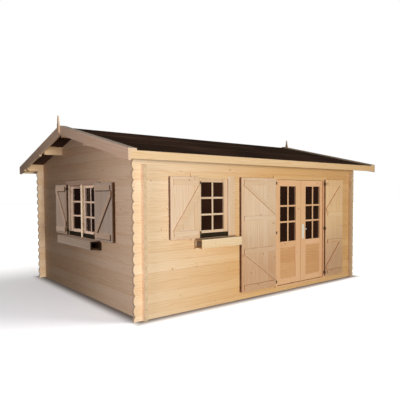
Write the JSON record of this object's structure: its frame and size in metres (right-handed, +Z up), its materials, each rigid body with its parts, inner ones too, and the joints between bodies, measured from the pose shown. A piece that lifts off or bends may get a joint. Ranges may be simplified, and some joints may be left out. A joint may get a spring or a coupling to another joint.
{
  "type": "log-built garden shed",
  "caption": "Garden cabin of interlocking logs with a low felted roof, glazed double doors, casement windows, swinging board shutters and boxes under the windows.",
  "frame": {"origin": "on the ground, under the middle of the cabin", "axes": "+X along the front wall to the right, +Y to the back, +Z up"},
  "size_m": [5.388, 4.54, 2.8808],
  "materials": {
    "log_pine": "planed, untreated",
    "pale_pine": "planed, untreated",
    "roof_felt": "boards under mineral felt, matt",
    "glass": "clear, dark room behind",
    "weather_bar": "dark bronze, satin",
    "hinge_iron": "dark, satin",
    "handle_metal": "satin"
  },
  "bodies": {
    "cabin": {"front_wall_left": "log_pine", "front_wall_under_window": "log_pine", "front_wall_pier": "log_pine", "front_wall_right": "log_pine", "front_wall_head": "log_pine", "front_wall_sill_log": "log_pine", "left_wall_front": "log_pine", "left_wall_back": "log_pine", "left_wall_under_window": "log_pine", "left_gable": "log_pine", "right_wall": "log_pine", "right_gable": "log_pine", "back_wall": "log_pine", "front_plate": "log_pine", "back_plate": "log_pine", "ridge_purlin": "log_pine", "front_purlin": "log_pine", "back_purlin": "log_pine", "front_fascia": "log_pine", "back_fascia": "log_pine", "floor_joists": "log_pine", "floor_boards": "log_pine", "door_frame": "log_pine", "left_barge_front": "pale_pine", "left_barge_back": "pale_pine", "right_barge_front": "pale_pine", "right_barge_back": "pale_pine", "left_finial": "pale_pine", "right_finial": "pale_pine", "front_window_frame": "pale_pine", "front_window_sash": "pale_pine", "left_window_frame": "pale_pine", "left_window_near_sash": "pale_pine", "left_window_far_sash": "pale_pine", "front_window_box": "pale_pine", "left_window_box": "pale_pine", "roof_front": "roof_felt", "roof_back": "roof_felt", "front_window_glass": "glass", "left_window_glass": "glass", "weather_bars": "weather_bar", "shutter_pins": "hinge_iron", "door_hinges": "hinge_iron"},
    "left_door": {"left_door": "log_pine", "left_door_glass": "glass", "left_door_hinges": "hinge_iron"},
    "right_door": {"right_door": "log_pine", "right_door_glass": "glass", "right_door_hinges": "hinge_iron", "door_handle": "handle_metal"},
    "left_door_shutter": {"left_door_shutter": "pale_pine", "left_door_shutter_straps": "hinge_iron"},
    "right_door_shutter": {"right_door_shutter": "pale_pine", "right_door_shutter_straps": "hinge_iron"},
    "front_window_shutter": {"front_window_shutter": "pale_pine", "front_window_shutter_straps": "hinge_iron"},
    "near_window_shutter": {"near_window_shutter": "pale_pine", "near_window_shutter_straps": "hinge_iron"},
    "far_window_shutter": {"far_window_shutter": "pale_pine", "far_window_shutter_straps": "hinge_iron"}
  },
  "joints": [
    {"name": "left_door_hinge", "type": "hinge", "parent": "cabin", "child": "left_door", "pos_m": [0.2285, -1.893, 0.98], "axis": [0, 0, 1], "range_deg": [0, 100]},
    {"name": "right_door_hinge", "type": "hinge", "parent": "cabin", "child": "right_door", "pos_m": [1.4575, -1.893, 0.98], "axis": [0, 0, -1], "range_deg": [0, 100]},
    {"name": "left_door_shutter_hinge", "type": "hinge", "parent": "cabin", "child": "left_door_shutter", "pos_m": [0.15, -2.013, 1], "axis": [0, 0, -1], "range_deg": [-180, 0]},
    {"name": "right_door_shutter_hinge", "type": "hinge", "parent": "cabin", "child": "right_door_shutter", "pos_m": [1.465, -2.013, 1], "axis": [0, 0, 1], "range_deg": [-180, 0]},
    {"name": "front_window_shutter_hinge", "type": "hinge", "parent": "cabin", "child": "front_window_shutter", "pos_m": [-1.413, -2.013, 1.45], "axis": [0, 0, -1], "range_deg": [-180, 0]},
    {"name": "near_window_shutter_hinge", "type": "hinge", "parent": "cabin", "child": "near_window_shutter", "pos_m": [-2.393, -0.625, 1.38], "axis": [0, 0, 1], "range_deg": [-180, 0]},
    {"name": "far_window_shutter_hinge", "type": "hinge", "parent": "cabin", "child": "far_window_shutter", "pos_m": [-2.393, 0.515, 1.38], "axis": [0, 0, -1], "range_deg": [-180, 0]}
  ]
}
